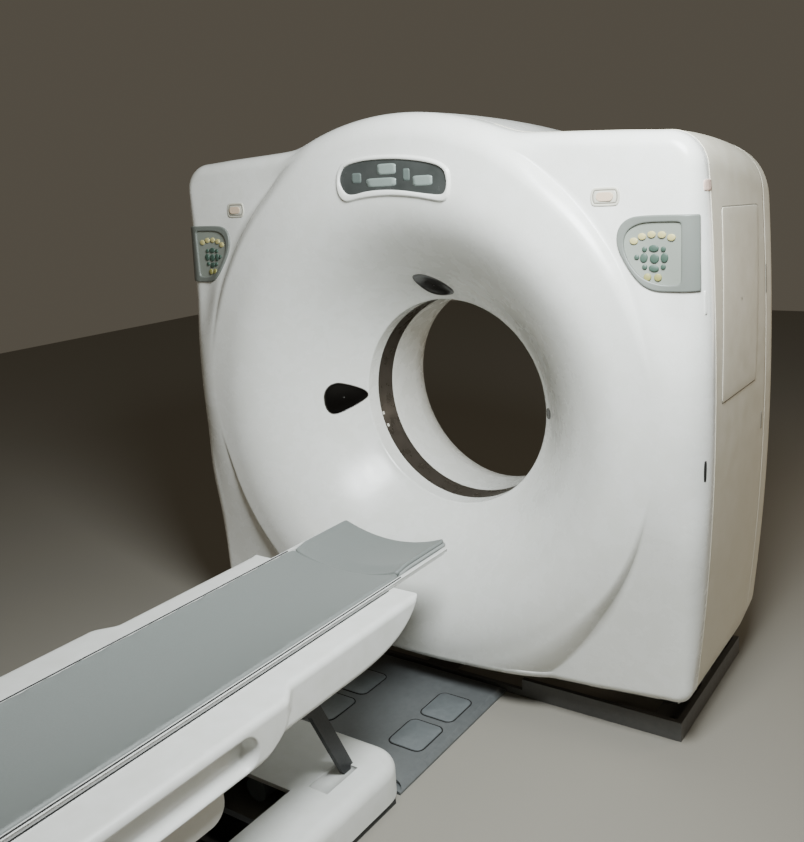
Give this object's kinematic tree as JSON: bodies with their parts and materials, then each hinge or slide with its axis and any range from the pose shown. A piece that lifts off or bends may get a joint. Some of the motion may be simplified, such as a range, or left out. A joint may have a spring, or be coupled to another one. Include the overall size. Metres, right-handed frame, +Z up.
{
  "type": "ct scanner",
  "caption": "Hospital CT scanner: ring gantry with a wide funnelled bore that tilts on two columns, and a patient table on parallel lift legs with a sliding cradle.",
  "frame": {"origin": "on the floor, straight below the isocentre, on the plinth's middle rib", "axes": "+Z up; +Y along the bore, away from the table; +X across, to the right as seen from the table's end"},
  "size_m": [1.842, 3.185, 1.83],
  "materials": {
    "gantry_plastic": "glossy off-white moulded plastic",
    "table_plastic": "satin off-white moulded plastic",
    "cradle_shell": "smooth white composite shell",
    "vinyl_pad": "grey coated vinyl over foam",
    "holder_shell": "grey composite",
    "dark_window": "dark translucent window, satin",
    "display": "grey smoked display cover",
    "panel_grey": "grey moulded panel",
    "stop_button": "cream button",
    "floor_plate": "blue-grey moulded plate",
    "painted_steel": "dark grey paint on steel",
    "bright_steel": "machined steel",
    "belt_rubber": "black rubber",
    "slip_ring": "brass tracks",
    "cast_metal": "cast aluminium",
    "unit_housing": "painted sheet metal"
  },
  "bodies": {
    "base": {"plinth": "painted_steel", "floor_plate": "floor_plate", "left_column": "painted_steel", "right_column": "painted_steel", "tilt_gearmotor": "unit_housing", "table_base_frame": "painted_steel", "table_base_cover": "table_plastic", "lift_gearmotor": "unit_housing"},
    "front_legs": {"front_legs": "painted_steel"},
    "rear_legs": {"rear_legs": "painted_steel"},
    "table_top": {"table_frame": "painted_steel", "left_table_cover": "table_plastic", "right_table_cover": "table_plastic", "left_table_skirt": "table_plastic", "right_table_skirt": "table_plastic", "table_end_cover": "table_plastic", "cradle_guides": "bright_steel", "cradle_drive": "unit_housing"},
    "cradle": {"cradle": "cradle_shell", "mattress": "vinyl_pad", "head_holder": "holder_shell", "head_pad": "vinyl_pad"},
    "gantry": {"front_cover": "gantry_plastic", "rear_cover": "gantry_plastic", "top_cover": "gantry_plastic", "left_side_cover": "gantry_plastic", "right_side_cover": "gantry_plastic", "left_access_panel": "gantry_plastic", "right_access_panel": "gantry_plastic", "scan_window": "dark_window", "rear_bore_liner": "gantry_plastic", "display_frame_ring": "gantry_plastic", "display_screen": "display", "left_control_panel": "panel_grey", "right_control_panel": "panel_grey", "left_keypad": "panel_grey", "right_keypad": "panel_grey", "left_stop_housing": "panel_grey", "right_stop_housing": "panel_grey", "top_laser_window": "dark_window", "left_laser_window": "dark_window", "right_laser_window": "dark_window", "tilt_frame": "painted_steel", "bearing_outer_race": "bright_steel", "drive_motor": "unit_housing", "drive_belt": "belt_rubber", "brush_block": "unit_housing"},
    "left_stop": {"left_stop_button": "stop_button"},
    "right_stop": {"right_stop_button": "stop_button"},
    "pulley": {"motor_pulley": "bright_steel"},
    "rotor": {"rotor_drum": "cast_metal", "bearing_inner_race": "bright_steel", "slip_ring": "slip_ring", "xray_tube": "cast_metal", "collimator": "unit_housing", "high_voltage_tank": "cast_metal", "detector_array": "unit_housing", "data_unit": "unit_housing", "counterweight": "painted_steel"}
  },
  "joints": [
    {"name": "gantry_tilt", "type": "hinge", "parent": "base", "child": "gantry", "pos_m": [0, 0, 0.9], "axis": [-1, 0, 0], "range_deg": [-20, 20]},
    {"name": "rotor_spin", "type": "hinge", "parent": "gantry", "child": "rotor", "pos_m": [0, 0, 0.9], "axis": [0, 1, 0], "continuous": true},
    {"name": "pulley_spin", "type": "hinge", "parent": "gantry", "child": "pulley", "pos_m": [0.6, 0, 0.355], "axis": [0, 1, 0], "continuous": true},
    {"name": "table_lift", "type": "hinge", "parent": "base", "child": "front_legs", "pos_m": [0, -0.957, 0.065], "axis": [-1, 0, 0], "range_deg": [-11, 31]},
    {"name": "rear_leg_swing", "type": "hinge", "parent": "base", "child": "rear_legs", "pos_m": [0, -1.957, 0.065], "axis": [-1, 0, 0], "range_deg": [-11, 31]},
    {"name": "table_level", "type": "hinge", "parent": "front_legs", "child": "table_top", "pos_m": [0, -1.49866, 0.5084], "axis": [-1, 0, 0], "range_deg": [-31, 11]},
    {"name": "cradle_slide", "type": "slide", "parent": "table_top", "child": "cradle", "axis": [0, 1, 0], "range_m": [0, 0.3]},
    {"name": "left_stop_press", "type": "slide", "parent": "gantry", "child": "left_stop", "axis": [0, 1, 0], "range_m": [0, 0.004], "stiffness_N_per_m": 900, "springref_m": -0.002},
    {"name": "right_stop_press", "type": "slide", "parent": "gantry", "child": "right_stop", "axis": [0, 1, 0], "range_m": [0, 0.004], "stiffness_N_per_m": 900, "springref_m": -0.002}
  ],
  "couplings": [
    {"joint": "pulley_spin", "follows": "rotor_spin", "ratio": 15.455},
    {"joint": "rear_leg_swing", "follows": "table_lift", "ratio": 1},
    {"joint": "table_level", "follows": "table_lift", "ratio": -1}
  ]
}
